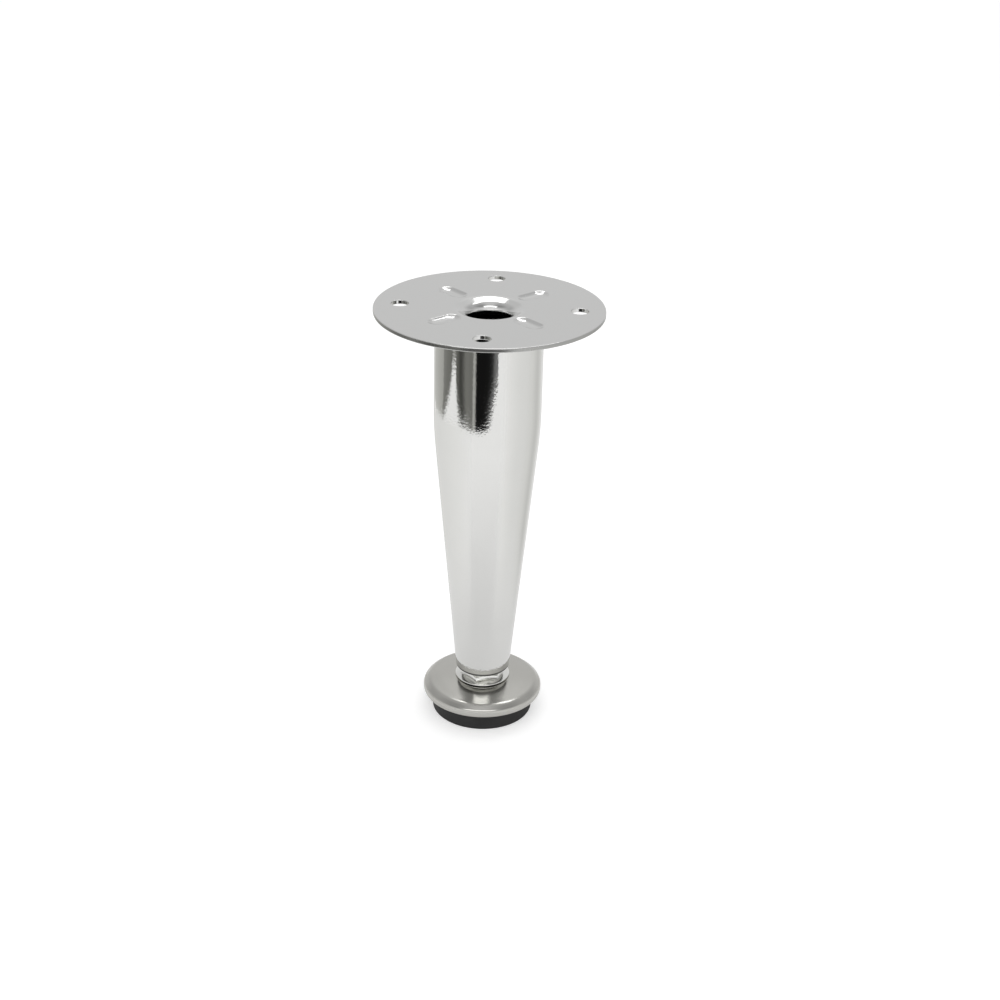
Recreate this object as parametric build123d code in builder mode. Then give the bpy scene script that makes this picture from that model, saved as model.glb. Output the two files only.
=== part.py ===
from build123d import *

import os
from math import atan2, cos, radians, sin, sqrt, tan

# Tapered furniture leg with a screw-in levelling foot.
# It stands on the floor at z = 0 with its axis on Z, in millimetres.

# Mounting plate, pressed from sheet steel
plate_diameter = 80.0
plate_thickness = 1.5
plate_edge_round = 0.3
screw_hole_count = 4
screw_hole_diameter = 6.2
screw_edge_distance = 9.0

# Dished centre hole of the plate, drawn down to a collar
centre_hole_diameter = 15.0
dish_width = 4.7
dish_angle = 30.0
dish_bend_radius = 0.5
collar_bend_radius = 2.0
collar_straight_length = 0.8

# Weld ribs, pressed down into the plate midway between the screw holes
rib_width = 5.5
rib_depth = 1.2
rib_draft = 55.0
rib_edge_round = 0.5
rib_dish_gap = 1.3
rib_reach_past_tube = 7.5

# Tapered tube, with its lower edge turned in
tube_diameter = 38.0
tube_wall = 1.2
tube_length = 141.2
tube_straight_length = 43.0
shoulder_radius = 160.0
lip_bend_radius = 0.2
lip_clearance = 0.6

# Threaded bush, wedged in the tube's lower end
bush_wall = 3.75
bush_length = 16.0
bush_fit = 0.02

# Levelling stud, threaded above and riveted through the foot cap below
thread_diameter = 10.0
thread_clearance = 0.05
thread_reach = 32.5
thread_end_chamfer = 1.0
pivot_shoulder = 1.25
pivot_clearance = 0.07
rivet_head_overlap = 3.0
rivet_head_thickness = 2.0
rivet_head_round = 0.8
swivel_play = 0.1

# Thin flange nut, locked on the stud
nut_across_flats = 14.0
nut_height = 3.0
nut_chamfer_inset = 0.4
nut_chamfer_angle = 30.0
nut_flange_diameter = 20.4
nut_flange_edge = 0.6
nut_flange_slope = 20.0
nut_turn = 18.0
nut_fit = 0.02
nut_to_tube_gap = 0.9

# Foot cap, pressed from sheet steel, with a rim turned under the pad
cap_diameter = 44.6
cap_sheet = 0.9
cap_seat_margin = 0.5
cap_crown_drop = 1.3
cap_shoulder_run = 3.6
cap_shoulder_drop = 2.1
cap_rim_height = 2.7
cap_crown_bend_radius = 20.0
cap_shoulder_bend_radius = 7.0
cap_edge_bend_radius = 1.0
cap_rim_bend_radius = 0.2

# Foot pad, moulded
pad_height = 7.2
pad_inset = 3.55
pad_clearance = 0.2
pad_edge_round = 0.5
pad_recess_clearance = 1.0

# Radii
plate_radius = plate_diameter / 2
screw_circle_radius = plate_radius - screw_edge_distance
centre_hole_radius = centre_hole_diameter / 2
dish_radius = centre_hole_radius + dish_width
tube_radius = tube_diameter / 2
thread_radius = thread_diameter / 2
bore_radius = thread_radius + thread_clearance
tube_end_radius = bore_radius + bush_wall + tube_wall
lip_hole_radius = thread_radius + lip_clearance
pivot_radius = thread_radius - pivot_shoulder
pivot_hole_radius = pivot_radius + pivot_clearance
rivet_head_radius = pivot_radius + rivet_head_overlap
nut_corner_radius = nut_across_flats / sqrt(3)
nut_face_radius = nut_across_flats / 2 - nut_chamfer_inset
nut_flange_radius = nut_flange_diameter / 2
cap_radius = cap_diameter / 2
cap_seat_radius = nut_flange_radius + cap_seat_margin
crown_radius = cap_radius - cap_shoulder_run
pad_radius = cap_radius - pad_inset

# Heights, from the floor up
cap_bottom = pad_height
cap_edge_height = cap_bottom + cap_rim_height
crown_edge_height = cap_edge_height + cap_shoulder_drop
cap_top = crown_edge_height + cap_crown_drop
nut_bottom = cap_top + swivel_play
nut_top = nut_bottom + nut_height
tube_bottom = nut_top + nut_to_tube_gap
tube_top = tube_bottom + tube_length
shoulder_height = tube_top - tube_straight_length
plate_top = tube_top + plate_thickness
bush_bottom = tube_bottom + tube_wall
bush_top = bush_bottom + bush_length
stud_top = nut_top + thread_reach
rivet_head_top = cap_top - cap_sheet - swivel_play
rivet_head_bottom = rivet_head_top - rivet_head_thickness

# The dish slopes down to the centre hole, and the collar bends on from it to a short straight wall
dish_bottom = plate_top - dish_width * tan(radians(dish_angle))
collar_bend = collar_bend_radius + plate_thickness
collar_bend_length = collar_bend * tan(radians(90 - dish_angle) / 2)
collar_bottom = dish_bottom - collar_bend_length - collar_straight_length

# Taper of the tube below its shoulder
taper_run = shoulder_height - tube_bottom
taper_angle = atan2(tube_radius - tube_end_radius, taper_run)


def bush_seat_radius(height):
    """Radius of the bush where it seats in the tube's tapered bore."""
    tube_outside = tube_end_radius + (height - tube_bottom) * tan(taper_angle)
    return tube_outside - tube_wall / cos(taper_angle) - bush_fit


# The ribs run from just outside the dish to past the tube's wall
rib_start = dish_radius + rib_dish_gap
rib_end = tube_radius + rib_reach_past_tube
rib_middle = (rib_start + rib_end) / 2
rib_straight = rib_end - rib_start - rib_width
rib_angle = 180 / screw_hole_count
# A sheet of even thickness that is pressed down is this much wider on its outer side
rib_turn = radians(rib_draft)
rib_boss_width = rib_width + 2 * plate_thickness * (1 - sin(rib_turn)) / cos(rib_turn)

with BuildSketch(Plane.XY.offset(plate_top)) as rib_pockets:
    with PolarLocations(rib_middle, screw_hole_count, start_angle=rib_angle):
        SlotCenterToCenter(rib_straight, rib_width)

with BuildSketch(Plane.XY.offset(tube_top)) as rib_bosses:
    with PolarLocations(rib_middle, screw_hole_count, start_angle=rib_angle):
        SlotCenterToCenter(rib_straight, rib_boss_width)

# Mounting plate: a disc, dished and drawn down round its centre hole
with BuildPart() as mounting_plate:
    with BuildSketch(Plane.XZ):
        with BuildLine():
            FilletPolyline(
                (centre_hole_radius, collar_bottom),
                (centre_hole_radius, dish_bottom),
                (dish_radius, plate_top),
                (plate_radius, plate_top),
                radius=[collar_bend, dish_bend_radius + plate_thickness],
            )
            offset(amount=plate_thickness, side=Side.RIGHT)
        make_face()
    revolve(axis=Axis.Z)
    rim_edges = mounting_plate.edges().filter_by(GeomType.CIRCLE).sort_by(SortBy.RADIUS)[-2:]
    fillet(rim_edges, radius=plate_edge_round)
    extrude(rib_bosses.sketch, amount=-rib_depth, taper=rib_draft)
    extrude(rib_pockets.sketch, amount=-rib_depth, taper=rib_draft, mode=Mode.SUBTRACT)
    # Each rib's mouth is two straight edges and two round ends, the shortest edges on the top face
    rib_mouths = mounting_plate.edges().group_by(Axis.Z)[-1].sort_by(SortBy.LENGTH)
    fillet(rib_mouths[: 4 * screw_hole_count], radius=rib_edge_round)
    with Locations((0, 0, plate_top)):
        with PolarLocations(screw_circle_radius, screw_hole_count):
            Hole(screw_hole_diameter / 2)

# Tapered tube: one wall, straight, then tapered, then turned in under the bush
with BuildPart() as leg_tube:
    with BuildSketch(Plane.XZ):
        with BuildLine():
            FilletPolyline(
                (tube_radius, tube_top),
                (tube_radius, shoulder_height),
                (tube_end_radius, tube_bottom),
                (lip_hole_radius, tube_bottom),
                radius=[shoulder_radius, lip_bend_radius + tube_wall],
            )
            offset(amount=tube_wall, side=Side.RIGHT)
        make_face()
    revolve(axis=Axis.Z)
    # Weld seats, where the upper edge closes over the plate's ribs
    extrude(rib_bosses.sketch, amount=-rib_depth, taper=rib_draft, mode=Mode.SUBTRACT)

# Threaded bush: a plug with the tube's own taper, resting on the turned-in lip
with BuildPart() as thread_bush:
    with BuildSketch(Plane.XZ):
        with BuildLine():
            Polyline(
                (bore_radius, bush_bottom),
                (bush_seat_radius(bush_bottom) - lip_bend_radius, bush_bottom),
                (bush_seat_radius(bush_bottom + lip_bend_radius), bush_bottom + lip_bend_radius),
                (bush_seat_radius(bush_top), bush_top),
                (bore_radius, bush_top),
                close=True,
            )
        make_face()
    revolve(axis=Axis.Z)

# Levelling stud: thread above, pivot through the cap, riveted head below it
with BuildPart() as levelling_stud:
    with BuildSketch(Plane.XY.offset(rivet_head_bottom)):
        Circle(rivet_head_radius)
    extrude(amount=rivet_head_thickness)
    fillet(levelling_stud.edges().group_by(Axis.Z)[0], radius=rivet_head_round)
    with BuildSketch(Plane.XY.offset(rivet_head_top)):
        Circle(pivot_radius)
    extrude(amount=nut_bottom - rivet_head_top)
    with BuildSketch(Plane.XY.offset(nut_bottom)):
        Circle(thread_radius)
    extrude(amount=stud_top - nut_bottom)
    chamfer(levelling_stud.edges().group_by(Axis.Z)[-1], length=thread_end_chamfer)

# Flange nut: a hexagon with a chamfered top on a sloping round flange
nut_chamfer_height = (nut_corner_radius - nut_face_radius) * tan(radians(nut_chamfer_angle))
nut_flange_rise = (nut_flange_radius - nut_face_radius) * tan(radians(nut_flange_slope))
with BuildPart() as flange_nut:
    with BuildSketch(Plane.XY.offset(nut_bottom)):
        RegularPolygon(nut_corner_radius, 6, rotation=nut_turn)
    extrude(amount=nut_height)
    with BuildSketch(Plane.XZ):
        with BuildLine():
            Polyline(
                (0, nut_bottom),
                (nut_corner_radius, nut_bottom),
                (nut_corner_radius, nut_top - nut_chamfer_height),
                (nut_face_radius, nut_top),
                (0, nut_top),
                close=True,
            )
        make_face()
    revolve(axis=Axis.Z, mode=Mode.INTERSECT)
    with BuildSketch(Plane.XZ):
        with BuildLine():
            Polyline(
                (0, nut_bottom),
                (nut_flange_radius, nut_bottom),
                (nut_flange_radius, nut_bottom + nut_flange_edge),
                (nut_face_radius, nut_bottom + nut_flange_edge + nut_flange_rise),
                (0, nut_bottom + nut_flange_edge + nut_flange_rise),
                close=True,
            )
        make_face()
    revolve(axis=Axis.Z)
    with Locations((0, 0, nut_top)):
        Hole(thread_radius + nut_fit)

# Foot cap: a shallow crowned disc whose rim turns down and under
with BuildPart() as foot_cap:
    with BuildSketch(Plane.XZ):
        with BuildLine():
            FilletPolyline(
                (pivot_hole_radius, cap_top),
                (cap_seat_radius, cap_top),
                (crown_radius, crown_edge_height),
                (cap_radius, cap_edge_height),
                (cap_radius, cap_bottom),
                (pad_radius + pad_clearance, cap_bottom),
                radius=[
                    cap_crown_bend_radius + cap_sheet,
                    cap_shoulder_bend_radius + cap_sheet,
                    cap_edge_bend_radius + cap_sheet,
                    cap_rim_bend_radius + cap_sheet,
                ],
            )
            offset(amount=cap_sheet, side=Side.RIGHT)
        make_face()
    revolve(axis=Axis.Z)

# Foot pad: a flange held by the turned-under rim, and a boss below the crown
flange_bottom = cap_bottom + cap_sheet
flange_top = cap_edge_height - cap_sheet
flange_radius = cap_radius - cap_sheet - pad_clearance
boss_radius = crown_radius - cap_sheet
boss_top = crown_edge_height - cap_sheet - pad_clearance
recess_radius = rivet_head_radius + pad_recess_clearance
recess_bottom = rivet_head_bottom - pad_recess_clearance
with BuildPart() as foot_pad:
    with BuildSketch(Plane.XZ):
        with BuildLine():
            Polyline(
                (0, 0),
                (pad_radius, 0),
                (pad_radius, flange_bottom),
                (flange_radius, flange_bottom),
                (flange_radius, flange_top),
                (boss_radius, flange_top),
                (boss_radius, boss_top),
                (recess_radius, boss_top),
                (recess_radius, recess_bottom),
                (0, recess_bottom),
                close=True,
            )
        make_face()
    revolve(axis=Axis.Z)
    fillet(foot_pad.edges().group_by(Axis.Z)[0], radius=pad_edge_round)

pieces = {
    "mounting_plate": mounting_plate,
    "leg_tube": leg_tube,
    "thread_bush": thread_bush,
    "levelling_stud": levelling_stud,
    "flange_nut": flange_nut,
    "foot_cap": foot_cap,
    "foot_pad": foot_pad,
}
os.makedirs("parts", exist_ok=True)
for name, piece in pieces.items():
    piece.part.label = name
    export_step(piece.part, f"parts/{name}.step")
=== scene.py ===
import logging
import math
from dataclasses import dataclass, field
from enum import Enum
from typing import Any, Callable, Iterable, Optional

import bmesh
import bpy
import numpy as np
from mathutils import Matrix, Vector
from mathutils.geometry import delaunay_2d_cdt


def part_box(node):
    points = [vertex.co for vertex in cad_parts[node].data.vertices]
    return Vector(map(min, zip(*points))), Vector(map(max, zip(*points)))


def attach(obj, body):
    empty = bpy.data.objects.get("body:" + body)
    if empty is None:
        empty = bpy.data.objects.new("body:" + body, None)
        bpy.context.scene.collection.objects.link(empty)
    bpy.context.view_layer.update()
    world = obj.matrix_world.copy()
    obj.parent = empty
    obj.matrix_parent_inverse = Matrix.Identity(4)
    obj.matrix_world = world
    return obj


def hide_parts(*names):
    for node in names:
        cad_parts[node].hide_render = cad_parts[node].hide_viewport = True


# Looks, studio and camera of the tapered furniture leg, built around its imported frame.
# Sizes are in millimetres and angles in degrees, and MM turns them into Blender's metres.

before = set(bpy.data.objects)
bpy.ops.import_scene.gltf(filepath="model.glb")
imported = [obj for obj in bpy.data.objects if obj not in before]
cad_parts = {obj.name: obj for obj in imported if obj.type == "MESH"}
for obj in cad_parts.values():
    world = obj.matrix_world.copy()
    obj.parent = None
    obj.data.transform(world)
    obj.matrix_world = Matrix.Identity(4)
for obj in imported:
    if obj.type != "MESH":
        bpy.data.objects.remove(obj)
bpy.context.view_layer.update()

log = logging.getLogger("furniture_leg")

MM = 0.001
SHARP_EDGE = math.radians(38.0)
# Places nearer to each other, or to the axis, count as one
SAME_PLACE = 1e-6
WHITE = 0xFFFFFF

Point = tuple[float, float]
Place = tuple[float, float, float]
Colour = tuple[float, float, float, float]


class Body(str, Enum):
    """The bodies that pieces ride on."""

    LEG = "leg"
    FOOT = "foot"
    STUD = "stud"


class Reach(str, Enum):
    """What may see a piece of studio gear."""

    EVERYTHING = "everything"
    REFLECTIONS = "reflections"


# Outlines


@dataclass(frozen=True)
class Corner:
    """One corner of an outline: distance from the axis, height, and rounding."""

    r: float
    z: float
    bend: float = 0.0

    def at(self) -> Vector:
        """The corner's place in the outline's plane."""
        return Vector((self.r, self.z))


def parallel(line: list[Corner], distance: float) -> list[Corner]:
    """Move a line sideways, as the other face of a bent sheet.

    Args:
        line: the corners of one face, in order.
        distance: how far to the right of its run the other face lies.

    Returns:
        The corners of the other face, with the bends' radii changed to match.
    """
    places = [corner.at() for corner in line]
    runs = [(b - a).normalized() for a, b in zip(places, places[1:])]
    runs = [runs[0], *runs, runs[-1]]
    moved = []
    for corner, before, after in zip(line, runs, runs[1:]):
        sides = [Vector((run.y, -run.x)) for run in (before, after)]
        shift = (sides[0] + sides[1]) * distance / (1 + sides[0].dot(sides[1]))
        turn = before.x * after.y - before.y * after.x
        bend = corner.bend + (distance if turn > 0 else -distance) if corner.bend else 0.0
        moved.append(Corner(corner.r + shift.x, corner.z + shift.y, max(bend, 0.0)))
    return moved


def sheet(line: list[Corner], thickness: float, edge: float) -> list[Corner]:
    """Close a line and its other face into the section of a sheet.

    Args:
        line: the corners of one face.
        thickness: the sheet's thickness, to the right of the line's run.
        edge: rounding of the sheet's cut edges.

    Returns:
        The corners of the closed section.
    """
    other = parallel(line, thickness)[::-1]
    section = []
    for face in (line, other):
        section += [Corner(face[0].r, face[0].z, edge), *face[1:-1], Corner(face[-1].r, face[-1].z, edge)]
    return section


def rounded(corners: list[Corner], steps: int, closed: bool, hold: float = 0.04) -> list[Point]:
    """Turn corners into points, with an arc at each rounded one.

    Args:
        corners: the outline's corners, in order.
        steps: faces in each arc.
        closed: whether the last corner joins the first.
        hold: length of the short flat beside each arc, which keeps the shading of the flats flat.

    Returns:
        The outline's points.
    """
    points: list[Point] = []
    count = len(corners)
    for index, corner in enumerate(corners):
        here = corner.at()
        if corner.bend <= 0 or (not closed and index in (0, count - 1)):
            points.append((corner.r, corner.z))
            continue
        before = (here - corners[index - 1].at()).normalized()
        after = (corners[(index + 1) % count].at() - here).normalized()
        turn = math.atan2(before.x * after.y - before.y * after.x, before.dot(after))
        tangent = corner.bend * math.tan(abs(turn) / 2)
        start = here - before * tangent
        side = Vector((-before.y, before.x)) * math.copysign(corner.bend, turn)
        centre = start + side
        points.append(tuple(start - before * hold))
        for step in range(steps + 1):
            points.append(tuple(centre + Matrix.Rotation(turn * step / steps, 2) @ -side))
        points.append(tuple(here + after * (tangent + hold)))
    return points


# Meshes


class Skin:
    """The vertices and faces of one piece, in millimetres, as they are gathered."""

    def __init__(self) -> None:
        """Start with no faces."""
        self.places: list[Place] = []
        self.faces: list[tuple[int, ...]] = []

    def ring(self, places: Iterable[Place]) -> list[int]:
        """Add vertices and return their numbers."""
        first = len(self.places)
        self.places.extend(places)
        return list(range(first, len(self.places)))

    def rings(self, section: list[Point], angles: list[float]) -> list[list[int]]:
        """Add a level ring of vertices for each point of a section."""
        return [self.ring(polar(r, angle, z) for angle in angles) for r, z in section]

    def strip(self, one: list[int], other: list[int]) -> None:
        """Join two open rows of equal count with four-sided faces."""
        self.faces.extend(zip(one, one[1:], other[1:], other))

    def bridge(self, rings: list[list[int]]) -> None:
        """Join closed rings of equal count, each to the next, with four-sided faces."""
        for one, other in zip(rings, rings[1:]):
            self.strip(one + one[:1], other + other[:1])

    def fan(self, ring: list[int], tip: Place) -> None:
        """Close a ring to a point on the axis."""
        centre = self.ring([tip])[0]
        for a, b in zip(ring, ring[1:] + ring[:1]):
            self.faces.append((a, b, centre))

    def flat(self, height: float, rings: list[list[int]], keep: Callable[[float, float], bool]) -> None:
        """Fill the level space between rings with triangles.

        Args:
            height: the level of the face.
            rings: closed rings of vertices that bound it.
            keep: says of a triangle's middle whether it lies in the sheet.
        """
        numbers = [number for ring in rings for number in ring]
        flat_places = [Vector(self.places[number][:2]) for number in numbers]
        edges, first = [], 0
        for ring in rings:
            last = first + len(ring) - 1
            edges += [(i, i + 1) for i in range(first, last)] + [(last, first)]
            first = last + 1
        spots, _, triangles, origins, _, _ = delaunay_2d_cdt(flat_places, edges, [], 0, SAME_PLACE)
        known = [
            numbers[origin[0]] if origin else self.ring([(spot.x, spot.y, height)])[0]
            for spot, origin in zip(spots, origins)
        ]
        for triangle in triangles:
            middle = sum((spots[i] for i in triangle), Vector((0.0, 0.0))) / len(triangle)
            if keep(middle.x, middle.y):
                self.faces.append(tuple(known[i] for i in triangle))

    def to_object(self, name: str) -> bpy.types.Object:
        """Make the Blender object, smooth apart from its sharp edges.

        Args:
            name: the object's name.

        Returns:
            The new object, in metres.
        """
        mesh = bpy.data.meshes.new(name)
        mesh.from_pydata([tuple(MM * v for v in place) for place in self.places], [], self.faces)
        work = bmesh.new()
        work.from_mesh(mesh)
        bmesh.ops.recalc_face_normals(work, faces=work.faces)
        for face in work.faces:
            face.smooth = True
        for edge in work.edges:
            edge.smooth = edge.calc_face_angle(0.0) < SHARP_EDGE
        work.to_mesh(mesh)
        work.free()
        piece = bpy.data.objects.new(name, mesh)
        bpy.context.scene.collection.objects.link(piece)
        return piece


def polar(r: float, angle: float, z: float) -> Place:
    """The place at a distance, an angle in degrees and a height."""
    return (r * math.cos(math.radians(angle)), r * math.sin(math.radians(angle)), z)


def even_angles(count: int, start: float = 0.0) -> list[float]:
    """Angles spread evenly round the axis."""
    return [start + 360.0 * i / count for i in range(count)]


def turned(outline: list[Point], angles: list[float]) -> Skin:
    """Turn a closed outline round the axis.

    Args:
        outline: the section's points, any on the axis only at its two ends.
        angles: where the columns of vertices stand.

    Returns:
        The closed skin.
    """
    skin = Skin()
    on_axis = [point for point in outline if point[0] < SAME_PLACE]
    rings = skin.rings([point for point in outline if point[0] >= SAME_PLACE], angles)
    if on_axis:
        skin.bridge(rings)
        skin.fan(rings[0], (0.0, 0.0, on_axis[0][1]))
        skin.fan(rings[-1], (0.0, 0.0, on_axis[-1][1]))
    else:
        skin.bridge([*rings, rings[0]])
    return skin


# Materials

# Places of a Mix node's colour sockets, which have the same names as its other sockets
MIX_FACTOR, MIX_FIRST, MIX_SECOND, MIX_RESULT = 0, 6, 7, 2


def linear(colour: int) -> Colour:
    """Turn an sRGB hex colour into linear red, green, blue and alpha."""
    channels = [(colour >> shift & 255) / 255 for shift in (16, 8, 0)]
    return (*[c / 12.92 if c <= 0.04045 else ((c + 0.055) / 1.055) ** 2.4 for c in channels], 1.0)


def add_node(
    tree: bpy.types.NodeTree, kind: str, inputs: Optional[dict[Any, Any]] = None, **settings: Any
) -> bpy.types.Node:
    """Add a node with its settings and links.

    Args:
        tree: the node tree that it joins.
        kind: Blender's name for the kind of shader node, without its prefix.
        inputs: for each input a value, another node's output, or another node for its first output.
        settings: the node's own properties.

    Returns:
        The new node.
    """
    node = tree.nodes.new("ShaderNode" + kind)
    for name, value in settings.items():
        setattr(node, name, value)
    for name, value in (inputs or {}).items():
        source = value.outputs[0] if isinstance(value, bpy.types.Node) else value
        if isinstance(source, bpy.types.NodeSocket):
            tree.links.new(source, node.inputs[name])
        else:
            node.inputs[name].default_value = source
    return node


def blank_material(name: str) -> bpy.types.Material:
    """A new material with an empty node tree."""
    material = bpy.data.materials.new(name)
    material.use_nodes = True
    material.node_tree.nodes.clear()
    return material


def per_metre(size: float) -> float:
    """The texture scale at which a pattern repeats about every so many millimetres."""
    return 1.0 / (size * MM)


@dataclass(frozen=True)
class Finish:
    """A surface as it was made: its colour, its gloss, and the fine relief left on it.

    Gloss and colour vary in clouds, and the gloss changes over the span of the clouds' values.
    """

    name: str
    colour: int
    roughness: float
    rougher: float
    metallic: float = 1.0
    relief_size: float = 1.0
    relief_depth: float = 0.001
    relief_stretch: Place = (1.0, 1.0, 1.0)
    relief_detail: float = 3.0
    cloud_size: float = 12.0
    cloud_detail: float = 4.0
    cloud_span: Point = (0.35, 0.65)
    darker: float = 0.0

    def material(self) -> bpy.types.Material:
        """Build the material.

        Returns:
            A node material with uneven gloss and fine relief.
        """
        material = blank_material(self.name)
        tree = material.node_tree
        place = add_node(tree, "TexCoord").outputs["Object"]
        stretched = add_node(tree, "Mapping", {"Vector": place, "Scale": self.relief_stretch})
        relief = add_node(
            tree,
            "TexNoise",
            {"Vector": stretched, "Scale": per_metre(self.relief_size), "Detail": self.relief_detail},
        )
        clouds = add_node(
            tree,
            "TexNoise",
            {"Vector": place, "Scale": per_metre(self.cloud_size), "Detail": self.cloud_detail},
        )
        gloss = add_node(
            tree,
            "MapRange",
            {
                "Value": clouds,
                "From Min": self.cloud_span[0],
                "From Max": self.cloud_span[1],
                "To Min": self.roughness,
                "To Max": self.rougher,
            },
        )
        colour: Any = linear(self.colour)
        if self.darker:
            deep = (*(c * (1.0 - self.darker) for c in colour[:3]), 1.0)
            tones = {MIX_FACTOR: clouds, MIX_FIRST: colour, MIX_SECOND: deep}
            colour = add_node(tree, "Mix", tones, data_type="RGBA").outputs[MIX_RESULT]
        bump = add_node(tree, "Bump", {"Height": relief, "Distance": self.relief_depth * MM, "Strength": 1.0})
        shader = add_node(
            tree,
            "BsdfPrincipled",
            {"Base Color": colour, "Metallic": self.metallic, "Roughness": gloss, "Normal": bump},
        )
        add_node(tree, "OutputMaterial", {"Surface": shader})
        return material


# Bright chrome plated over polished tube: a mirror whose edges are broken up by a faint orange peel
POLISHED_CHROME = Finish(
    "polished_chrome_plating", 0xE3E3E1, 0.03, 0.06, relief_size=0.9, relief_depth=0.018, darker=0.04
)
# Chrome plated over pressed sheet as it came off the press: an even pale grey with no clear reflections
SATIN_CHROME = Finish(
    "satin_chrome_plating",
    0xDEDEDD,
    0.1,
    0.14,
    relief_size=0.5,
    relief_depth=0.0008,
    relief_stretch=(1.0, 0.12, 1.0),
)
# Chrome over a sheared edge that no buff reached: a dull grey line round the bright sheet
SHEARED_EDGE = Finish(
    "sheared_edge_plating", 0xB4B4B2, 0.24, 0.32, relief_size=0.6, relief_depth=0.004, darker=0.2
)
# Chrome over an edge that was swaged in, with painted shade for the shadowed gap above the nut: a dull dark
# line
TUBE_EDGE_SHADE = Finish(
    "tube_edge_painted_shade", 0x70706E, 0.4, 0.5, relief_size=0.6, relief_depth=0.006, darker=0.2
)
# Nickel plated over pressed sheet: a slightly warm grey with blurred reflections and soft bright lines
SATIN_NICKEL = Finish(
    "satin_nickel_plating", 0xCBCAC5, 0.14, 0.22, relief_size=4.0, relief_depth=0.02, darker=0.08
)
# Nickel plated over a forged nut: brighter than the cap, with rounded glints at its edges
BRIGHT_NICKEL = Finish("bright_nickel_plating", 0xF2F2EF, 0.1, 0.18, relief_size=1.2, relief_depth=0.006)
# Zinc plated over a rolled thread: bluish and finely clouded
BRIGHT_ZINC = Finish(
    "bright_zinc_plating", 0xC3C7CB, 0.2, 0.3, relief_size=0.6, relief_depth=0.004, darker=0.15
)
# Free-cutting steel as turned and oiled: dark grey with fine rings
TURNED_STEEL = Finish(
    "turned_steel", 0x9C9A97, 0.3, 0.4, relief_size=0.4, relief_depth=0.004, relief_stretch=(0.05, 0.05, 1.0)
)
# Black rubber moulded in a blasted tool: matt, with a fine grain that breaks up its dull shine
MOULDED_RUBBER = Finish(
    "moulded_rubber", 0x262626, 0.55, 0.7, metallic=0.0, relief_size=0.45, relief_depth=0.05, darker=0.3
)


# Pieces


@dataclass
class Piece:
    """One piece of the leg: the node that it stands for, what it rides on, and its finish."""

    node: str
    body: Body
    slot: str
    finish: Finish
    low: Vector = field(init=False)
    high: Vector = field(init=False)

    def __post_init__(self) -> None:
        """Keep the node's lowest and highest corners, in millimetres."""
        self.low, self.high = (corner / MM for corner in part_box(self.node))

    def dress(self, piece: bpy.types.Object) -> None:
        """Give a mesh the finish, put it in its node's place and report it.

        Args:
            piece: the mesh that stands for the node.
        """
        piece.data.materials.append(self.finish.material())
        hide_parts(self.node)
        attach(piece, self.body.value)
        log.info("%s: %d faces, %s", piece.name, len(piece.data.polygons), self.finish.name)

    def dull(
        self, piece: bpy.types.Object, finish: Finish, is_edge: Callable[[bpy.types.MeshPolygon], bool]
    ) -> None:
        """Give the faces of an edge their own finish: a duller plating, or painted shade.

        Args:
            piece: the dressed mesh.
            finish: the edge's finish.
            is_edge: says of a face whether it lies on that edge.
        """
        piece.data.materials.append(finish.material())
        for face in piece.data.polygons:
            face.material_index = int(is_edge(face))


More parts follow.
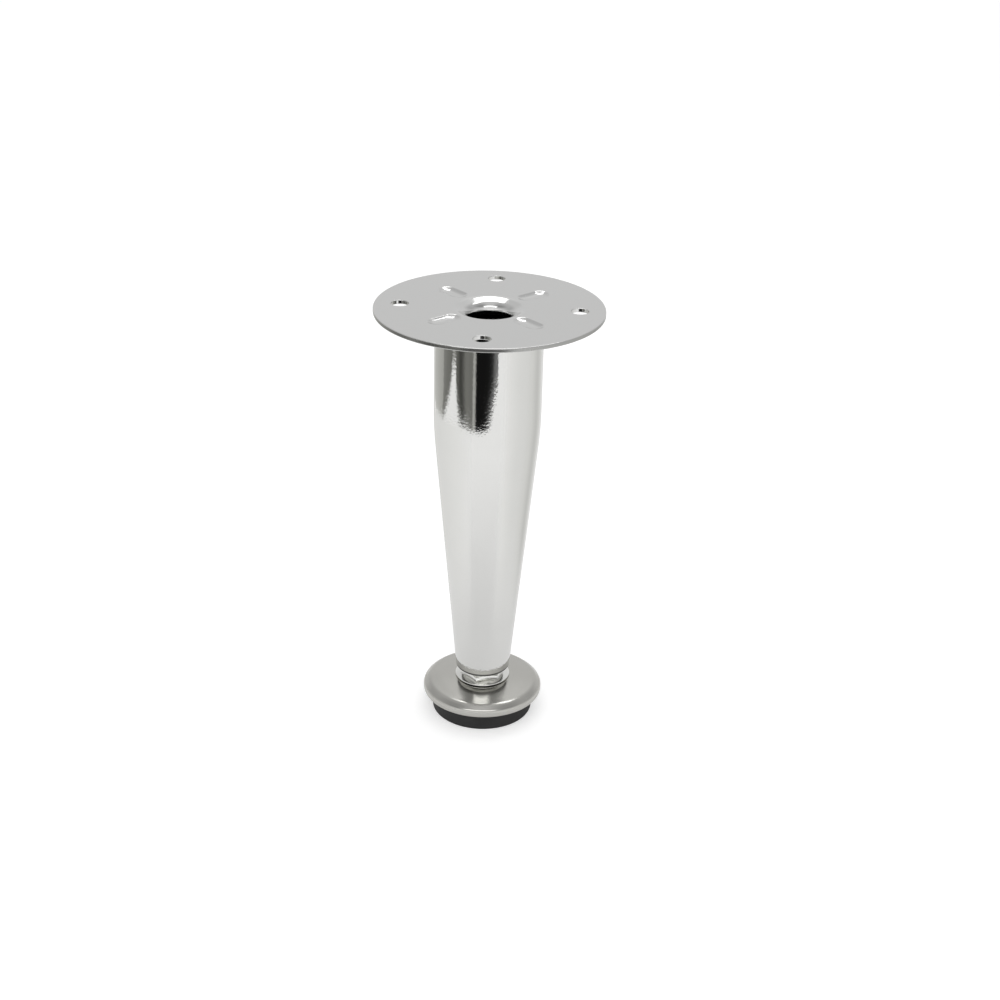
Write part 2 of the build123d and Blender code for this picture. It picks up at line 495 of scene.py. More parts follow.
@dataclass
class MountingPlate(Piece):
    """Pressed plate with a dished centre hole, four weld ribs and four screw holes."""

    node: str = "mounting_plate"
    body: Body = Body.LEG
    slot: str = "plate_satin_chrome"
    finish: Finish = SATIN_CHROME
    thickness: float = 1.5
    edge_round: float = 0.3
    edge_steps: int = 4
    rim_normal_rise: float = 0.5
    screw_count: int = 4
    screw_radius: float = 3.1
    screw_edge_distance: float = 9.0
    screw_edge_round: float = 0.2
    screw_edge_runout: float = 1.5
    screw_columns: int = 48
    centre_hole_radius: float = 7.5
    dish_width: float = 4.7
    dish_angle: float = 25.0
    dish_bend: float = 3.0
    collar_bend: float = 2.0
    collar_edge_round: float = 0.2
    throat_steps: int = 10
    rib_width: float = 6.4
    rib_depth: float = 1.2
    rib_draft: float = 55.0
    rib_fullness: float = 2.6
    rib_rise: float = 0.5
    rib_rise_power: int = 3
    rib_dish_gap: float = 1.3
    rib_end: float = 26.5
    ribbed_from: float = 13.3
    ribbed_to: float = 27.4
    rib_ring_step: float = 0.25
    rib_sector: float = 16.0
    fine_angle: float = 0.5
    coarse_angle: float = 2.0

    def top(self) -> float:
        """Height of the upper face."""
        return self.high.z

    def bottom(self) -> float:
        """Height of the lower face."""
        return self.top() - self.thickness

    def rib_spacing(self) -> float:
        """Angle from one rib to the next, and from one screw hole to the next."""
        return 360.0 / self.screw_count

    def off_rib(self, angle: float) -> float:
        """How far an angle lies from the nearest rib's middle line, in radians."""
        spacing = self.rib_spacing()
        return math.radians(angle % spacing - spacing / 2)

    def outer_mouth(self) -> float:
        """Width of a rib on the lower face, which goes round the outside of its walls."""
        draft = math.radians(self.rib_draft)
        return self.rib_width + 2 * self.thickness * (1 - math.sin(draft)) / math.cos(draft)

    def angles(self) -> list[float]:
        """Columns of vertices, close together across the ribs."""
        half = self.rib_spacing() / 2
        fine = np.arange(-self.rib_sector, self.rib_sector + self.fine_angle / 2, self.fine_angle)
        coarse = np.arange(self.rib_sector + self.coarse_angle, 2 * half - self.rib_sector, self.coarse_angle)
        one = np.concatenate([fine, coarse])
        return [float(half + rib * 2 * half + a) for rib in range(self.screw_count) for a in one]

    def rib_drop(self, r: float, angle: float, mouth: float) -> float:
        """How far a face is pressed down at a place.

        Args:
            r: distance from the axis.
            angle: angle round the axis.
            mouth: width of the rib on that face of the sheet.

        Returns:
            The drop at that place, deepest along the rib's middle line and at its middle.
        """
        turn = self.off_rib(angle)
        along, across = r * math.cos(turn), r * math.sin(turn)
        rib_start = self.centre_hole_radius + self.dish_width + self.rib_dish_gap
        half = self.rib_width / 2
        beyond = along - min(max(along, rib_start + half), self.rib_end - half)
        aside = math.hypot(beyond, across) / (mouth / 2)
        endwise = (along - (rib_start + self.rib_end) / 2) / ((self.rib_end - rib_start) / 2)
        scoop = max(0.0, 1.0 - aside**self.rib_fullness)
        lift = self.rib_rise * min(1.0, abs(endwise)) ** self.rib_rise_power
        return self.rib_depth * scoop * (1.0 - lift)

    def throat(self) -> list[Point]:
        """Section of the dish and the collar, from the upper face round to the lower one."""
        slope = math.tan(math.radians(self.dish_angle))
        dish_bottom = self.top() - self.dish_width * slope
        line = [
            Corner(self.ribbed_from, self.top()),
            Corner(self.centre_hole_radius + self.dish_width, self.top(), self.dish_bend + self.thickness),
            Corner(self.centre_hole_radius, dish_bottom, self.collar_bend + self.thickness),
            Corner(self.centre_hole_radius, self.low.z),
        ]
        other = parallel(line, -self.thickness)[::-1]
        edge = self.collar_edge_round
        ends = [Corner(line[-1].r, line[-1].z, edge), Corner(other[0].r, other[0].z, edge)]
        return rounded([*line[:-1], *ends, *other[1:]], self.throat_steps, closed=False)

    def build(self) -> None:
        """Press, pierce and plate it."""
        skin, angles = Skin(), self.angles()
        radii = np.arange(self.ribbed_to, self.ribbed_from + self.rib_ring_step / 2, -self.rib_ring_step)
        faces = [(self.top(), self.rib_width, radii), (self.bottom(), self.outer_mouth(), radii[::-1])]
        ribbed = [
            [skin.ring(polar(r, a, z - self.rib_drop(r, a, mouth)) for a in angles) for r in rings]
            for z, mouth, rings in faces
        ]
        inner = [*ribbed[0], *skin.rings(self.throat(), angles), *ribbed[1]]
        rim = [
            Corner(self.high.x - 2 * self.edge_round, self.top()),
            Corner(self.high.x, self.top(), self.edge_round),
            Corner(self.high.x, self.bottom(), self.edge_round),
            Corner(self.high.x - 2 * self.edge_round, self.bottom()),
        ]
        outer = skin.rings(rounded(rim, self.edge_steps, closed=False), angles)
        walls = [self.screw_hole(skin, polar(self.screw_circle(), a, 0.0)) for a in self.screw_angles()]
        for rings in (inner, outer, *walls):
            skin.bridge(rings)
        for height, end in ((self.top(), 0), (self.bottom(), -1)):
            skin.flat(height, [inner[end], outer[end], *[wall[end] for wall in walls]], self.is_sheet)
        plate = skin.to_object("pressed_plate")
        self.dress(plate)
        self.dull(plate, SHEARED_EDGE, self.is_rim)

    def is_rim(self, face: bpy.types.MeshPolygon) -> bool:
        """Whether a face lies on the sheared rim."""
        is_upright = abs(face.normal.z) < self.rim_normal_rise
        return is_upright and face.center.xy.length > (self.high.x - self.edge_round) * MM

    def screw_circle(self) -> float:
        """Radius of the circle that the screw holes lie on."""
        return self.high.x - self.screw_edge_distance

    def screw_mouth(self) -> float:
        """Radius at which a screw hole's rounded edge has run out into the face."""
        return self.screw_radius + self.screw_edge_runout * self.screw_edge_round

    def screw_angles(self) -> list[float]:
        """Where the screw holes stand."""
        return even_angles(self.screw_count)

    def screw_hole(self, skin: Skin, centre: Place) -> list[list[int]]:
        """Rings of a screw hole's wall, its edges rounded.

        Args:
            skin: the plate's skin.
            centre: the hole's axis.

        Returns:
            The rings, from the upper face down.
        """
        mouth = self.screw_mouth()
        line = [
            Corner(mouth, self.top()),
            Corner(self.screw_radius, self.top(), self.screw_edge_round),
            Corner(self.screw_radius, self.bottom(), self.screw_edge_round),
            Corner(mouth, self.bottom()),
        ]
        rings = []
        for r, z in rounded(line, self.edge_steps, closed=False):
            places = [polar(r, a, z) for a in even_angles(self.screw_columns)]
            rings.append(skin.ring((x + centre[0], y + centre[1], height) for x, y, height in places))
        return rings

    def is_sheet(self, x: float, y: float) -> bool:
        """Whether a place on the flat part of the plate is sheet and not a hole."""
        mouth = self.screw_mouth()
        holes = [polar(self.screw_circle(), a, 0.0) for a in self.screw_angles()]
        clear = all(math.hypot(x - hx, y - hy) > mouth for hx, hy, _ in holes)
        return clear and math.hypot(x, y) > self.ribbed_to


@dataclass
class LegTube(Piece):
    """Tube, straight and then tapered, with its lower edge turned in."""

    node: str = "leg_tube"
    body: Body = Body.LEG
    slot: str = "tube_chrome"
    finish: Finish = POLISHED_CHROME
    wall: float = 1.2
    straight_length: float = 43.0
    end_radius: float = 10.0
    lip_hole_radius: float = 5.6
    shoulder_radius: float = 160.0
    lip_bend: float = 0.2
    shaded_band: float = 2.0
    # Height of the band of painted shade at the lower edge
    underside_normal_rise: float = -0.95
    edge_round: float = 0.15
    arc_steps: int = 20
    columns: int = 288

    def seat_drop(self, angle: float, plate: MountingPlate) -> float:
        """How far the upper edge is cut down where it closes over a rib.

        Args:
            angle: angle round the axis.
            plate: the plate whose ribs it closes over.

        Returns:
            The drop at that angle.
        """
        across = abs(self.high.x * math.sin(plate.off_rib(angle)))
        slope = math.tan(math.radians(plate.rib_draft))
        return min(plate.rib_depth, max(0.0, (plate.outer_mouth() / 2 - across) / slope))

    def build(self, plate: MountingPlate) -> None:
        """Draw, swage and plate it.

        Args:
            plate: the plate that it is welded to.
        """
        top, bottom, radius = self.high.z, self.low.z, self.high.x
        line = [
            Corner(radius, top),
            Corner(radius, top - self.straight_length, self.shoulder_radius),
            Corner(self.end_radius, bottom, self.lip_bend + self.wall),
            Corner(self.lip_hole_radius, bottom),
        ]
        outline = rounded(sheet(line, self.wall, self.edge_round), self.arc_steps, closed=True)
        skin = turned(outline, even_angles(self.columns))
        edge = top - self.wall
        skin.places = [
            (x, y, z - self.seat_drop(math.degrees(math.atan2(y, x)), plate) if z > edge else z)
            for x, y, z in skin.places
        ]
        tube = skin.to_object("chrome_tube")
        self.dress(tube)
        # The turned-in lower edge gets painted shade, a dark line for the shadowed gap above the nut
        self.dull(tube, TUBE_EDGE_SHADE, self.is_shaded_edge)

    def is_shaded_edge(self, face: bpy.types.MeshPolygon) -> bool:
        """Whether a face lies on the lower edge, where the wall turns in and the painted shade goes."""
        is_wall = face.normal.z > self.underside_normal_rise
        return is_wall and face.center.z < (self.low.z + self.shaded_band) * MM


@dataclass
class ThreadBush(Piece):
    """Threaded plug inside the tube's end, shown as the CAD made it."""

    node: str = "thread_bush"
    body: Body = Body.LEG
    slot: str = "plain_steel"
    finish: Finish = TURNED_STEEL

    def build(self) -> None:
        """Give the node its finish."""
        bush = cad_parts[self.node]
        for slot in bush.material_slots:
            slot.material = self.finish.material()
        log.info("%s: %s", self.node, self.finish.name)


@dataclass
class FlangeNut(Piece):
    """Thin hexagon nut on a sloping round flange."""

    node: str = "flange_nut"
    body: Body = Body.STUD
    slot: str = "nut_nickel"
    finish: Finish = BRIGHT_NICKEL
    sides: int = 6
    across_flats: float = 14.0
    corner_bend: float = 0.5
    bore_radius: float = 5.02
    chamfer_inset: float = 0.4
    chamfer_angle: float = 30.0
    flange_edge: float = 0.6
    flange_slope: float = 20.0
    flange_fillet: float = 1.2
    undercut_run: float = 1.1
    undercut_rise: float = 0.3
    turn: float = 18.0
    edge_round: float = 0.12
    arc_steps: int = 4
    arc_hold: float = 0.02
    columns: int = 240

    def hexagon(self, angle: float) -> float:
        """Distance of the hexagon's side from the axis.

        Args:
            angle: angle round the axis.

        Returns:
            The distance, with the corners rounded.
        """
        flat, half_side = self.across_flats / 2, 180.0 / self.sides
        turn = abs((angle - self.turn) % (2 * half_side) - half_side)
        inner = flat - self.corner_bend
        centre = inner / math.cos(math.radians(half_side))
        if math.tan(math.radians(turn)) * flat < inner * math.tan(math.radians(half_side)):
            return flat / math.cos(math.radians(turn))
        off = math.radians(half_side - turn)
        return centre * math.cos(off) + math.sqrt(self.corner_bend**2 - (centre * math.sin(off)) ** 2)

    def section(self, angle: float) -> list[Point]:
        """Section of the nut at an angle.

        Args:
            angle: angle round the axis.

        Returns:
            Points round the section, as many at every angle.
        """
        low, high = self.low.z, self.high.z
        flange, side = self.high.x, self.hexagon(angle)
        face = self.across_flats / 2 - self.chamfer_inset
        edge = self.edge_round
        slope, chamfer = (math.tan(math.radians(a)) for a in (self.flange_slope, self.chamfer_angle))
        corners = [
            Corner(self.bore_radius, low, edge),
            Corner(flange - self.undercut_run, low, edge),
            Corner(flange, low + self.undercut_rise, edge),
            Corner(flange, low + self.flange_edge, 2 * edge),
            Corner(side, low + self.flange_edge + (flange - side) * slope, self.flange_fillet),
            Corner(side, high - (side - face) * chamfer, edge),
            Corner(face, high, edge),
            Corner(self.bore_radius, high, edge),
        ]
        return rounded(corners, self.arc_steps, closed=True, hold=self.arc_hold)

    def build(self) -> None:
        """Forge, chamfer and plate it."""
        skin, angles = Skin(), even_angles(self.columns, self.turn)
        columns = [[(angle, point) for point in self.section(angle)] for angle in angles]
        rings = [skin.ring(polar(r, a, z) for a, (r, z) in ring) for ring in zip(*columns)]
        skin.bridge([*rings, rings[0]])
        self.dress(skin.to_object("hexagon_flange_nut"))


@dataclass
class LevellingStud(Piece):
    """Threaded stud, riveted loosely through the foot's cap."""

    node: str = "levelling_stud"
    body: Body = Body.STUD
    slot: str = "stud_zinc"
    finish: Finish = BRIGHT_ZINC
    radius: float = 5.0
    pitch: float = 1.5
    thread_depth: float = 0.92
    crest_share: float = 0.125
    root_share: float = 0.25
    rows_per_turn: int = 16
    columns: int = 96
    pivot_radius: float = 3.75
    head_thickness: float = 2.0
    head_round: float = 0.8
    head_edge_round: float = 0.1
    arc_steps: int = 6
    end_chamfer: float = 1.0

    def thread(self, angle: float, z: float) -> float:
        """Radius of the right-hand thread at a place.

        Args:
            angle: angle round the axis.
            z: height.

        Returns:
            The distance of the thread's surface from the axis.
        """
        phase = abs((z / self.pitch - angle / 360.0) % 1.0 - 0.5) * 2.0
        flank = (phase - self.crest_share) / (1.0 - self.crest_share - self.root_share)
        return self.radius - self.thread_depth * min(1.0, max(0.0, flank))

    def build(self, nut: FlangeNut) -> None:
        """Roll its thread and plate it.

        Args:
            nut: the nut that is locked on it, at the thread's lower end.
        """
        low, high, start = self.low.z, self.high.z, nut.low.z
        head_top = low + self.head_thickness
        foot = [
            Corner(0.0, low),
            Corner(self.high.x, low, self.head_round),
            Corner(self.high.x, head_top, self.head_edge_round),
            Corner(self.pivot_radius, head_top, self.head_edge_round),
            Corner(self.pivot_radius, start),
        ]
        skin, angles = Skin(), even_angles(self.columns)
        # The first point lies on the axis, where the fan below closes the head
        rings = skin.rings(rounded(foot, self.arc_steps, closed=False)[1:], angles)
        rows = math.ceil((high - start) / self.pitch * self.rows_per_turn)
        for row in range(rows + 1):
            z = start + (high - start) * row / rows
            limit = self.radius - max(0.0, z - (high - self.end_chamfer))
            rings.append(skin.ring(polar(min(self.thread(a, z), limit), a, z) for a in angles))
        skin.bridge(rings)
        skin.fan(rings[0], (0.0, 0.0, low))
        skin.fan(rings[-1], (0.0, 0.0, high))
        self.dress(skin.to_object("threaded_stud"))


@dataclass
class FootCap(Piece):
    """Pressed disc, slightly domed, with its rim turned down and under."""

    node: str = "foot_cap"
    body: Body = Body.FOOT
    slot: str = "cap_nickel"
    finish: Finish = SATIN_NICKEL
    sheet: float = 0.9
    pivot_hole_radius: float = 3.82
    seat_radius: float = 10.7
    crown_drop: float = 1.6
    dome_radius: float = 15.5
    dome_drop: float = 0.6
    shoulder_run: float = 2.2
    shoulder_drop: float = 1.8
    rim_reach: float = 3.35
    crown_bend: float = 34.0
    shoulder_bend: float = 3.2
    edge_bend: float = 1.0
    rim_bend: float = 0.2
    edge_round: float = 0.15
    arc_steps: int = 12
    columns: int = 240

    def build(self) -> None:
        """Press and plate it."""
        top, bottom, radius = self.high.z, self.low.z, self.high.x
        crown = top - self.crown_drop
        line = [
            Corner(self.pivot_hole_radius, top),
            Corner(self.seat_radius, top, self.crown_bend + self.sheet),
            Corner(self.dome_radius, top - self.dome_drop, self.crown_bend + self.sheet),
            Corner(radius - self.shoulder_run, crown, self.shoulder_bend + self.sheet),
            Corner(radius, crown - self.shoulder_drop, self.edge_bend + self.sheet),
            Corner(radius, bottom, self.rim_bend + self.sheet),
            Corner(radius - self.rim_reach, bottom),
        ]
        outline = rounded(sheet(line, self.sheet, self.edge_round), self.arc_steps, closed=True)
        self.dress(turned(outline, even_angles(self.columns)).to_object("pressed_cap"))


@dataclass
class FootPad(Piece):
    """Moulded pad, its flange held by the cap's rim."""

    node: str = "foot_pad"
    body: Body = Body.FOOT
    slot: str = "pad_rubber"
    finish: Finish = MOULDED_RUBBER
    pad_radius: float = 18.75
    edge_round: float = 0.5
    flange_bottom: float = 8.1
    flange_top: float = 9.0
    boss_radius: float = 17.8
    recess_radius: float = 7.75
    recess_bottom: float = 9.3
    mould_round: float = 0.1
    arc_steps: int = 6
    columns: int = 192

    def build(self) -> None:
        """Mould it."""
        low, high, flange = self.low.z, self.high.z, self.high.x
        small = self.mould_round
        line = [
            Corner(0.0, low),
            Corner(self.pad_radius, low, self.edge_round),
            Corner(self.pad_radius, self.flange_bottom, small),
            Corner(flange, self.flange_bottom, small),
            Corner(flange, self.flange_top, small),
            Corner(self.boss_radius, self.flange_top, small),
            Corner(self.boss_radius, high, small),
            Corner(self.recess_radius, high, small),
            Corner(self.recess_radius, self.recess_bottom, small),
            Corner(0.0, self.recess_bottom),
        ]
        outline = rounded(line, self.arc_steps, closed=False)
        self.dress(turned(outline, even_angles(self.columns)).to_object("moulded_pad"))


# Studio

# Distances from the leg: where the longest cards end, just inside the floor's edge, and between which a
# feathered card fades in
CARD_END = 5900.0
FADE_START, FADE_END = 45.0, 130.0


@dataclass(frozen=True)
class Flag:
    """A grey card that lies on the floor, seen only in reflections.

    Its greys run evenly from one side to the other. Its rows give a distance from the leg and the angles
    between which the card reaches there. A card with fades lets the floor show through: more at each row, the
    lower its fade, and wholly along its two sides.
    """

    greys: tuple[int, ...]
    rows: tuple[tuple[float, float, float], ...]
    fades: tuple[float, ...] = ()

    @classmethod
    def feathered(cls, greys: tuple[int, ...], start: float, end: float, far: float) -> "Flag":
        """A card that fades in on its way out from the leg.

        Args:
            greys: its greys, from one side to the other.
            start: the angle of its first side.
            end: the angle of its other side.
            far: the distance at which it ends.

        Returns:
            The card.
        """
        rows = tuple((distance, start, end) for distance in (FADE_START, FADE_END, far))
        return cls(greys, rows, (0.0, 1.0, 1.0))


@dataclass(frozen=True)
class Lamp:
    """A soft lamp: its place, its size and its brightness, where 1 is as bright as white paper."""

    name: str
    place: Place
    size: Point
    brightness: float


@dataclass
class Studio:
    """Pale floor, soft light, and the cards that the chrome reflects."""

    floor_radius: float = 6000.0
    floor_columns: int = 64
    floor_grey: int = 0xE6E6E6
    floor_glow: float = 0.45
    # In reflections the floor's glow grows between these distances from the leg: painted shade on the floor
    # near the leg
    reflected_glow: Point = (0.17, 0.325)
    reflected_reach: Point = (60.0, 180.0)
    sky_light: float = 0.7
    side_from: Point = (0.13, 0.36)
    side_shade: float = 0.68
    # Brightness of the room in front of the leg and behind it, by the sine of the height above the floor
    front_wall: tuple[Point, ...] = (
        (0.0, 0.7), (0.15, 0.95), (0.5, 0.85), (0.68, 0.45), (0.8, 0.5), (0.92, 0.66), (1.0, 0.68)
    )
    back_wall: tuple[Point, ...] = ((0.0, 0.68), (0.5, 0.7), (0.7, 0.8), (0.9, 0.8), (1.0, 0.7))
    wall_blend: float = 0.25
    front_azimuth: float = -85.7
    flag_height: float = 1.0
    flag_step: float = 0.05
    flag_columns: int = 24
    flag_feather: float = 8.0
    aim: Place = (0.0, 0.0, 80.0)
    lamps: tuple[Lamp, ...] = (
        Lamp("overhead_softbox", (60.0, 385.0, 990.0), (740.0, 200.0), 2.4),
        Lamp("front_softbox", (0.0, -620.0, 800.0), (900.0, 240.0), 1.6),
    )
    flags: tuple[Flag, ...] = (
        # Left of the leg, a pale grey wall that darkens towards the front
        Flag(
            (0xCACAC6, 0xC6C6C2, 0xBEBEBA, 0xB0B0AC),
            (
                (298.0, -136.0, -112.0),
                (312.0, -150.0, -108.0),
                (338.0, -168.0, -106.0),
                (362.0, -172.0, -106.0),
                (CARD_END, -172.0, -106.0),
            ),
        ),
        Flag(
            (0x8E8E8A, 0x7C7C78, 0x747470),
            (
                (298.0, -112.0, -106.0),
                (312.0, -108.0, -98.0),
                (338.0, -106.0, -86.0),
                (362.0, -106.0, -81.0),
                (393.0, -106.0, -78.0),
                (CARD_END, -106.0, -77.0),
            ),
        ),
        # A paler gap far off, between that wall and the next
        Flag((0x9A9A96, 0x8C8C88), ((380.0, -78.0, -70.0), (CARD_END, -78.0, -70.0))),
        # A dark wall
        Flag(
            (0x747470, 0x5E5E5A, 0x42423F, 0x5A5A57, 0x7A7A76, 0x7C7C78, 0x767672, 0x7A7A76),
            (
                (281.0, -39.0, -31.0),
                (292.0, -52.0, -31.0),
                (308.0, -62.0, -31.0),
                (338.0, -68.0, -31.0),
                (362.0, -70.0, -31.0),
                (CARD_END, -70.0, -31.0),
            ),
        ),
        # A thin pale edge, and the darkest card, in front of the leg
        Flag((0xA8A8A4, 0xB4B4B0, 0x5A5A58), ((281.0, -31.0, -24.0), (CARD_END, -31.0, -24.0))),
        Flag(
            (0x1A1A1A, 0x161616, 0x161616, 0x161616, 0x181818, 0x1E1E1E, 0x343434, 0x787878, 0x7C7C7C),
            (
                (279.0, -24.0, -16.9),
                (292.0, -24.0, 0.7),
                (308.0, -24.0, 6.0),
                (338.0, -24.0, 13.0),
                (362.0, -24.0, 20.1),
                (CARD_END, -24.0, 20.1),
            ),
        ),
        # Right of the leg, behind it and close by its left, the floor's white falls off slowly
        Flag.feathered(
            (0xFFFFFF, 0xF8F8F7, 0xF0F0EF, 0xEDEDEC, 0xE6E6E4, 0xD2D2D0, 0xE2E2E0, 0xF4F4F4),
            28.0,
            160.0,
            CARD_END,
        ),
        Flag.feathered((0xF4F4F4, 0xDCDCDA, 0xDCDCDA, 0xE6E6E4), 144.0, 215.0, CARD_END),
        Flag.feathered((0xE6E6E4, 0xF0F0EF, 0xF8F8F7, 0xFFFFFF), -161.0, -32.0, 296.0),
    )

    def card_paper(self) -> bpy.types.Material:
        """Paper printed in greys, which shows them as they are in reflections."""
        material = blank_material("grey_card")
        tree = material.node_tree
        grey = add_node(tree, "Attribute", attribute_name="grey")
        glow = add_node(tree, "Emission", {"Color": grey, "Strength": 1.0})
        clear = add_node(tree, "BsdfTransparent")
        card = add_node(tree, "MixShader", {0: grey.outputs["Alpha"], 1: clear, 2: glow})
        add_node(tree, "OutputMaterial", {"Surface": card})
        return material

    def floor_paper(self) -> bpy.types.Material:
        """White paper that keeps the leg's shadow, and is white to the camera; in reflections its glow is
        weaker close to the leg, as painted shade.

        Returns:
            The material.
        """
        material = blank_material("white_paper")
        tree = material.node_tree
        path = add_node(tree, "LightPath").outputs
        seen = add_node(
            tree, "Math", {0: path["Is Camera Ray"], 1: path["Is Transmission Ray"]}, operation="MAXIMUM"
        )
        place = add_node(tree, "NewGeometry").outputs["Position"]
        distance = add_node(tree, "VectorMath", {0: place}, operation="LENGTH").outputs["Value"]
        # Painted shade: the glow that reflections see is weaker near the leg
        shade_near_leg = add_node(
            tree,
            "MapRange",
            {
                "Value": distance,
                "From Min": self.reflected_reach[0] * MM,
                "From Max": self.reflected_reach[1] * MM,
                "To Min": self.reflected_glow[0],
                "To Max": self.reflected_glow[1],
            },
        )
        mirrored = add_node(tree, "Math", {0: path["Is Glossy Ray"], 1: shade_near_leg}, operation="MULTIPLY")
        strength = add_node(
            tree, "Math", {0: seen, 1: self.floor_glow, 2: mirrored}, operation="MULTIPLY_ADD"
        )
        paper = add_node(tree, "BsdfDiffuse", {"Color": linear(self.floor_grey)})
        glow = add_node(tree, "Emission", {"Strength": strength})
        both = add_node(tree, "AddShader", {0: paper, 1: glow})
        add_node(tree, "OutputMaterial", {"Surface": both})
        return material

    def set_up(self, name: str, skin: Skin, reach: Reach, material: bpy.types.Material) -> bpy.types.Object:
        """Add a flat sheet of paper to the studio.

        Args:
            name: the sheet's name.
            skin: its faces.
            reach: what may see it.
            material: its surface.

        Returns:
            The sheet.
        """
        paper = skin.to_object(name)
        paper.data.materials.append(material)
        if reach is Reach.REFLECTIONS:
            paper.visible_camera = False
            paper.visible_diffuse = False
            paper.visible_shadow = False
        # The leg stands on this floor however far its foot is screwed out, so the floor goes with the foot
        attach(paper, Body.FOOT.value)
        return paper

    def lay_floor(self) -> None:
        """Lay the white paper."""
        skin = Skin()
        edge = skin.ring(polar(self.floor_radius, a, 0.0) for a in even_angles(self.floor_columns))
        skin.fan(edge, (0.0, 0.0, 0.0))
        self.set_up("studio_floor", skin, Reach.EVERYTHING, self.floor_paper())

    def lay_flags(self) -> None:
        """Lay the grey and black cards that the tube reflects."""
        material, across = self.card_paper(), np.linspace(0.0, 1.0, self.flag_columns)
        for number, flag in enumerate(self.flags):
            skin, height = Skin(), self.flag_height + self.flag_step * number
            rows = []
            for distance, start, end in flag.rows:
                angles = start + (end - start) * across + self.front_azimuth
                rows.append(skin.ring(polar(distance, float(a), height) for a in angles))
            for one, other in zip(rows, rows[1:]):
                skin.strip(one, other)
            card = self.set_up(f"studio_flag_{number}", skin, Reach.REFLECTIONS, material)
            printed = np.array([linear(grey) for grey in flag.greys])
            stops = np.linspace(0.0, 1.0, len(printed))
            shades = np.stack([np.interp(across, stops, channel) for channel in printed.T], axis=1)
            grey = card.data.attributes.new("grey", "FLOAT_COLOR", "POINT")
            printed_rows = np.tile(shades, (len(rows), 1, 1))
            if flag.fades:
                feather = np.minimum(1.0, self.flag_feather * np.minimum(across, 1.0 - across))
                printed_rows[:, :, 3] = np.outer(flag.fades, feather)
            grey.data.foreach_set("color", printed_rows.ravel())

    def hang_lamps(self) -> None:
        """Hang the soft lamps and aim them at the leg."""
        for lamp in self.lamps:
            light = bpy.data.lights.new(lamp.name, "AREA")
            light.shape = "RECTANGLE"
            light.size, light.size_y = (MM * side for side in lamp.size)
            light.energy = lamp.brightness * math.pi * light.size * light.size_y
            holder = bpy.data.objects.new(lamp.name, light)
            holder.location = Vector(lamp.place) * MM
            beam = Vector(self.aim) - Vector(lamp.place)
            holder.rotation_euler = beam.to_track_quat("-Z", "Y").to_euler()
            bpy.context.scene.collection.objects.link(holder)

    def light_room(self) -> None:
        """Light the room: white to the camera, an even dome for matt surfaces, a studio for bright ones."""
        world = bpy.data.worlds.new("studio_room")
        world.use_nodes = True
        tree = world.node_tree
        tree.nodes.clear()
        path = add_node(tree, "LightPath").outputs
        direction = add_node(tree, "TexCoord").outputs["Generated"]
        axes = add_node(tree, "SeparateXYZ", {"Vector": direction}).outputs
        behind = add_node(
            tree, "MapRange", {"Value": axes["Y"], "From Min": -self.wall_blend, "From Max": self.wall_blend}
        )
        walls = []
        for stops in (self.front_wall, self.back_wall):
            ramp = add_node(tree, "ValToRGB", {"Fac": axes["Z"]})
            # New stops go in the ramp's middle, and each is then moved to its place
            while len(ramp.color_ramp.elements) < len(stops):
                ramp.color_ramp.elements.new(0.5)
            for element, (position, shade) in zip(ramp.color_ramp.elements, stops):
                element.position = position
                element.color = (shade, shade, shade, 1.0)
            walls.append(ramp)
        sides = {MIX_FACTOR: behind, MIX_FIRST: walls[0], MIX_SECOND: walls[1]}
        room = add_node(tree, "Mix", sides, data_type="RGBA").outputs[MIX_RESULT]
        sideways = add_node(tree, "Math", {0: axes["X"]}, operation="ABSOLUTE")
        aside = add_node(tree, "Math", {0: sideways, 1: axes["Z"]}, operation="MULTIPLY")
        shaded = add_node(
            tree,
            "MapRange",
            {
                "Value": aside,
                "From Min": self.side_from[0],
                "From Max": self.side_from[1],
                "To Min": 1.0,
                "To Max": self.side_shade,
            },
        )
        lighting = add_node(tree, "Background", {"Color": linear(WHITE), "Strength": self.sky_light})
        seen = add_node(tree, "Background", {"Color": linear(WHITE), "Strength": 1.0})
        bright = add_node(tree, "Background", {"Color": room, "Strength": shaded})
        for ray, light in (("Is Glossy Ray", bright), ("Is Camera Ray", seen)):
            lighting = add_node(tree, "MixShader", {0: path[ray], 1: lighting, 2: light})
        add_node(tree, "OutputWorld", {"Surface": lighting})
        bpy.context.scene.world = world

    def build(self) -> None:
        """Set up the studio."""
        self.lay_floor()
        self.lay_flags()
        self.hang_lamps()
        self.light_room()
        bpy.context.scene.view_settings.view_transform = "Standard"
        log.info("studio: floor, %d cards and %d lamps", len(self.flags), len(self.lamps))


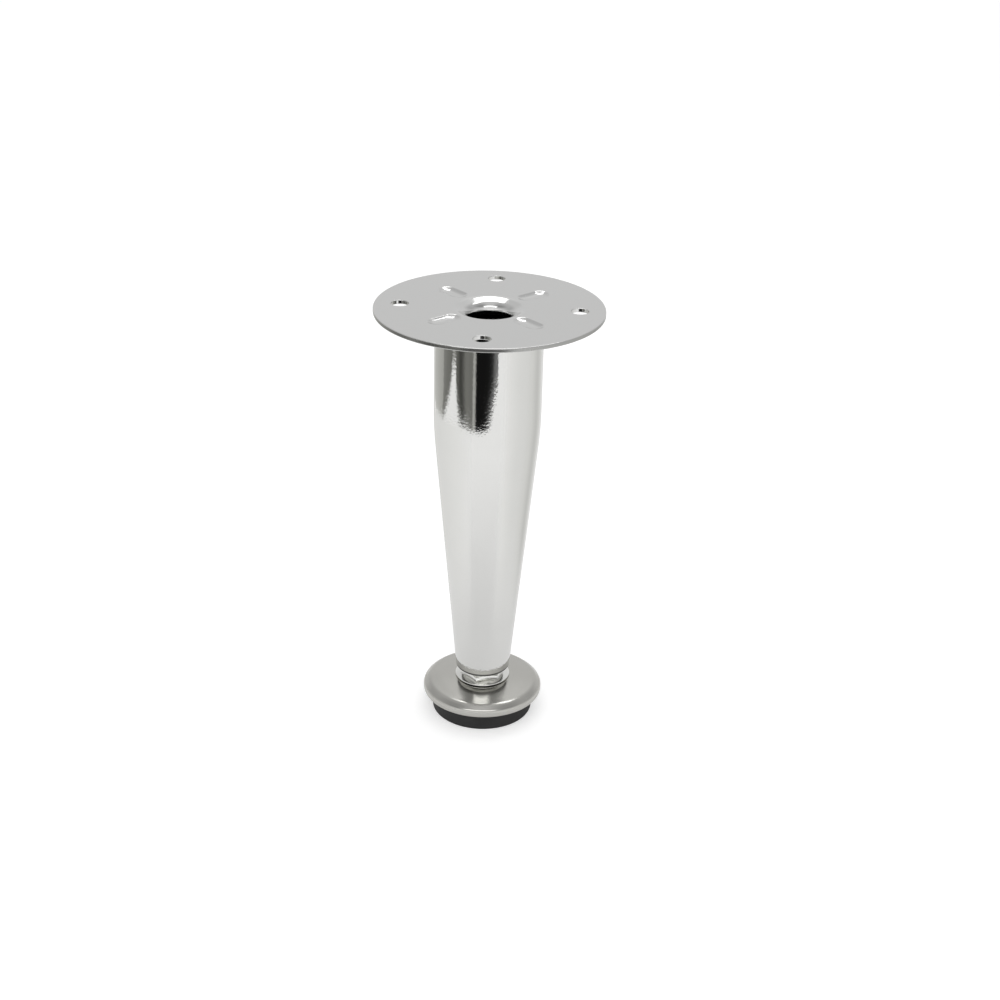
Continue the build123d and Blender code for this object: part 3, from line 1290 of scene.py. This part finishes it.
@dataclass
class PhotoCamera:
    """Camera that stands where the photograph was taken from."""

    distance: float = 546.2
    height: float = 352.8
    round_the_leg: float = 4.3
    look_down: float = 25.985
    look_right: float = 0.539
    roll: float = 1.382
    focal_length: float = 60.46
    film_width: float = 36.0

    def build(self) -> None:
        """Place the camera and make it the scene's own."""
        down, right, roll = (math.radians(a) for a in (self.look_down, self.look_right, self.roll))
        ahead = Vector((math.sin(right) * math.cos(down), math.cos(right) * math.cos(down), -math.sin(down)))
        level = Vector((math.cos(right), -math.sin(right), 0.0))
        above = level.cross(ahead)
        across = math.cos(roll) * level + math.sin(roll) * above
        upward = -math.sin(roll) * level + math.cos(roll) * above
        place = Matrix.Translation(Vector((0.0, -self.distance, self.height)) * MM)
        facing = Matrix((across, upward, -ahead)).transposed().to_4x4()
        lens = bpy.data.cameras.new("photo_camera")
        lens.sensor_width = self.film_width
        lens.lens = self.focal_length
        camera = bpy.data.objects.new("photo_camera", lens)
        camera.matrix_world = Matrix.Rotation(math.radians(self.round_the_leg), 4, "Z") @ place @ facing
        bpy.context.scene.collection.objects.link(camera)
        bpy.context.scene.camera = camera
        log.info("camera: %.2f mm lens", lens.lens)


def main() -> None:
    """Build the leg, the studio and the camera."""
    logging.basicConfig(level=logging.INFO, format="%(name)s %(message)s")
    PhotoCamera().build()
    plate, nut = MountingPlate(), FlangeNut()
    plate.build()
    LegTube().build(plate)
    ThreadBush().build()
    LevellingStud().build(nut)
    nut.build()
    FootCap().build()
    FootPad().build()
    Studio().build()


if __name__ == "__main__":
    main()
